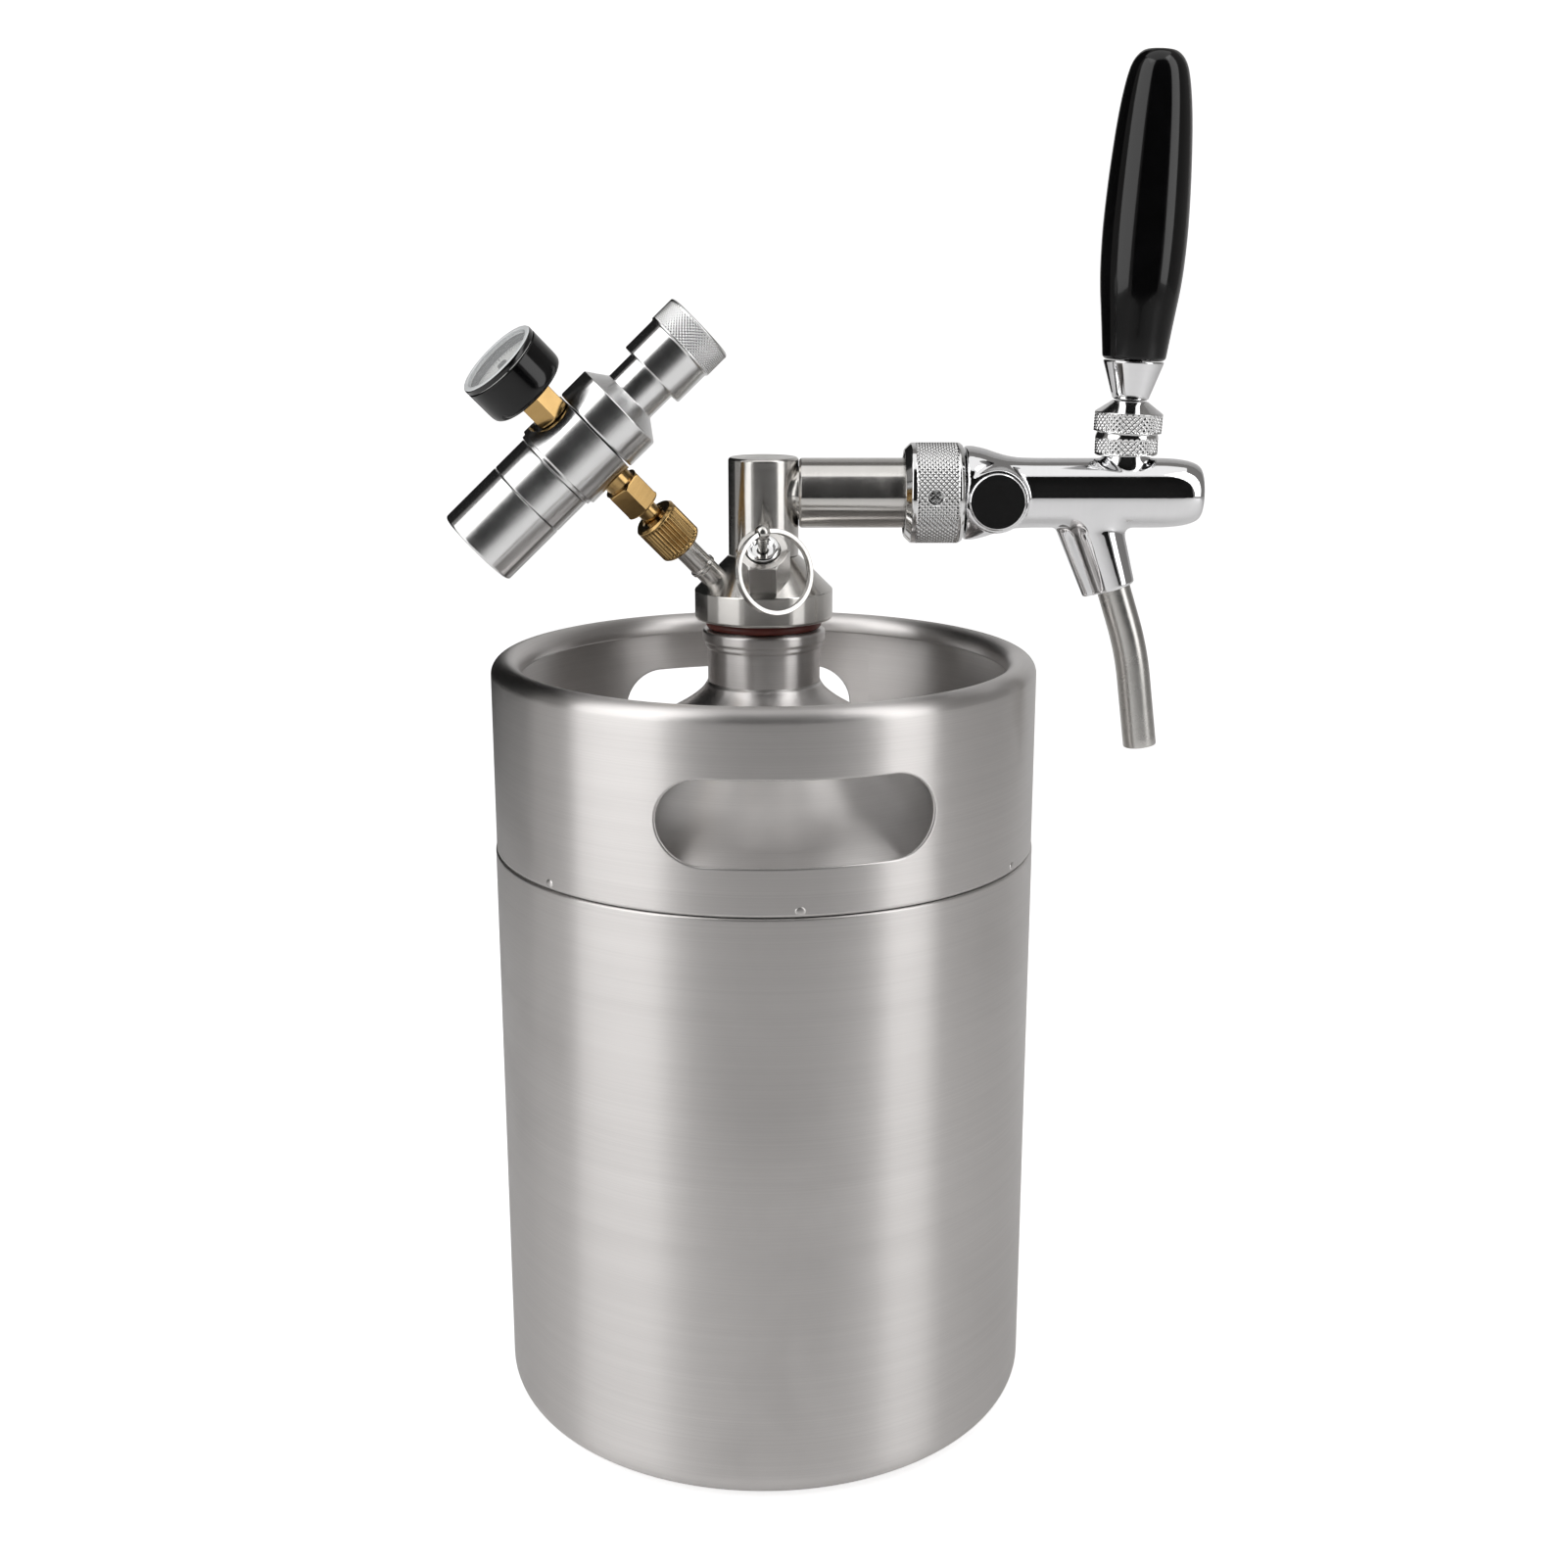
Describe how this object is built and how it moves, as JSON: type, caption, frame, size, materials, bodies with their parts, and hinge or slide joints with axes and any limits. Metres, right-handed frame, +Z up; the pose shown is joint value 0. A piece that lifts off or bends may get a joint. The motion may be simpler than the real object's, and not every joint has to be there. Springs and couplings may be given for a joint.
{
  "type": "mini beer keg",
  "caption": "Small stainless steel beer keg with a rolled-rim handle ring and a screw-in tap head: flow-control faucet, relief valve and cartridge gas regulator with a gauge.",
  "frame": {"origin": "on the keg's axis, at the plane the keg stands on", "axes": "+Z up the keg's axis, +X along the tap arm, -Y towards the front hand slot and relief valve"},
  "size_m": [0.2235, 0.168, 0.4183],
  "materials": {
    "brushed_steel": "satin stainless steel, brushed round the axis",
    "polished_steel": "polished stainless steel, fine turning marks",
    "chrome": "mirror chrome plate",
    "aluminium": "polished aluminium, knurled grip",
    "brass": "machined brass",
    "spring_steel": "spring wire",
    "red_rubber": "dark red silicone seal",
    "black_rubber": "black rubber",
    "white_plastic": "white nylon",
    "handle_black": "gloss black",
    "gauge_black": "gloss black gauge case",
    "gauge_white": "white bezel",
    "gauge_dial": "white dial face",
    "gauge_lens": "clear lens"
  },
  "bodies": {
    "keg": {"keg_body": "brushed_steel", "keg_shoulder": "brushed_steel", "keg_neck": "brushed_steel", "top_chime": "brushed_steel"},
    "head_seal": {"head_seal": "red_rubber"},
    "tap_head": {"head_cap": "polished_steel", "tower_tube": "polished_steel", "tap_arm": "polished_steel", "dip_tube": "polished_steel", "gas_nipple": "polished_steel", "relief_body": "polished_steel", "relief_cap": "polished_steel", "relief_spring": "spring_steel", "coupling_washer": "black_rubber", "faucet_body": "chrome", "spout_tube": "polished_steel", "flow_plug": "chrome", "spindle_seal": "black_rubber", "tap_bonnet": "chrome", "ball_seat": "white_plastic"},
    "coupling_nut": {"coupling_nut": "chrome"},
    "relief_stem": {"relief_stem": "polished_steel", "relief_seal": "black_rubber"},
    "relief_ring": {"relief_ring": "polished_steel"},
    "tap_handle": {"tap_lever": "polished_steel", "lever_collar": "chrome", "handle_ferrule": "chrome", "handle_insert": "brass", "tap_handle": "handle_black"},
    "faucet_shaft": {"faucet_shaft": "polished_steel", "shaft_seal": "black_rubber"},
    "flow_lever": {"flow_lever": "chrome", "flow_spindle": "polished_steel", "lever_screw": "polished_steel"},
    "flow_cone": {"flow_cone": "white_plastic"},
    "regulator": {"cartridge_sleeve": "aluminium", "inlet_body": "aluminium", "piercing_pin": "brass", "pin_seal": "black_rubber", "regulator_body": "aluminium", "regulator_bonnet": "aluminium", "valve_poppet": "brass", "poppet_spring": "spring_steel", "diaphragm": "black_rubber", "spring_plate": "brass", "range_spring": "spring_steel", "spring_button": "brass", "gauge_stem": "brass", "gauge_case": "gauge_black", "gauge_bezel": "gauge_white", "gauge_lens": "gauge_lens", "gauge_dial": "gauge_dial", "bourdon_tube": "brass", "outlet_fitting": "brass", "nut_washer": "black_rubber"},
    "adjust_knob": {"adjust_knob": "aluminium", "adjust_screw": "polished_steel"},
    "gauge_needle": {"gauge_needle": "black_rubber"},
    "swivel_nut": {"swivel_nut": "brass"}
  },
  "joints": [
    {"name": "head_lift", "type": "slide", "parent": "keg", "child": "head_seal", "axis": [0, 0, 1], "range_m": [0, 0.25]},
    {"name": "head_turn", "type": "hinge", "parent": "head_seal", "child": "tap_head", "pos_m": [0, 0, 0.25], "axis": [0, 0, 1], "continuous": true},
    {"name": "nut_turn", "type": "hinge", "parent": "tap_head", "child": "coupling_nut", "pos_m": [0.051, 0, 0.2914], "axis": [1, 0, 0], "continuous": true},
    {"name": "handle_tilt", "type": "hinge", "parent": "tap_head", "child": "tap_handle", "pos_m": [0.1092, 0, 0.3057], "axis": [0, 1, 0], "range_deg": [0, 35]},
    {"name": "shaft_slide", "type": "slide", "parent": "tap_head", "child": "faucet_shaft", "axis": [1, 0, 0], "range_m": [-0.0083, 0]},
    {"name": "flow_turn", "type": "hinge", "parent": "tap_head", "child": "flow_lever", "pos_m": [0.0696, 0.015, 0.2901], "axis": [0, 1, 0], "range_deg": [-40, 40]},
    {"name": "cone_slide", "type": "slide", "parent": "tap_head", "child": "flow_cone", "axis": [1, 0, 0], "range_m": [-0.0015, 0.0015]},
    {"name": "relief_pull", "type": "slide", "parent": "tap_head", "child": "relief_stem", "axis": [0, -0.7071, 0.7071], "range_m": [0, 0.003], "stiffness_N_per_m": 900, "springref_m": -0.004, "deforming": ["relief_spring"]},
    {"name": "ring_swing", "type": "hinge", "parent": "relief_stem", "child": "relief_ring", "pos_m": [0, -0.02998, 0.28308], "axis": [-0.8204, -0.5277, -0.22], "range_deg": [0, 100]},
    {"name": "regulator_swing", "type": "hinge", "parent": "tap_head", "child": "regulator", "pos_m": [-0.052, -0.02579, 0.30799], "axis": [-0.6348, -0.3148, 0.7057], "range_deg": [-45, 45]},
    {"name": "knob_turn", "type": "hinge", "parent": "regulator", "child": "adjust_knob", "pos_m": [-0.02692, -0.02222, 0.33214], "axis": [0.7166, 0.1018, 0.69], "continuous": true},
    {"name": "needle_turn", "type": "hinge", "parent": "regulator", "child": "gauge_needle", "pos_m": [-0.07257, -0.03599, 0.33085], "axis": [0.6348, 0.3148, -0.7057], "range_deg": [0, 270], "stiffness_Nm_per_rad": 0.00002, "springref_deg": -11.46},
    {"name": "swivel_turn", "type": "hinge", "parent": "regulator", "child": "swivel_nut", "pos_m": [-0.02851, -0.01414, 0.28188], "axis": [-0.6348, -0.3148, 0.7057], "continuous": true}
  ],
  "couplings": [
    {"joint": "shaft_slide", "follows": "handle_tilt", "m_per_rad": -0.0132},
    {"joint": "cone_slide", "follows": "flow_turn", "m_per_rad": 0.002}
  ]
}
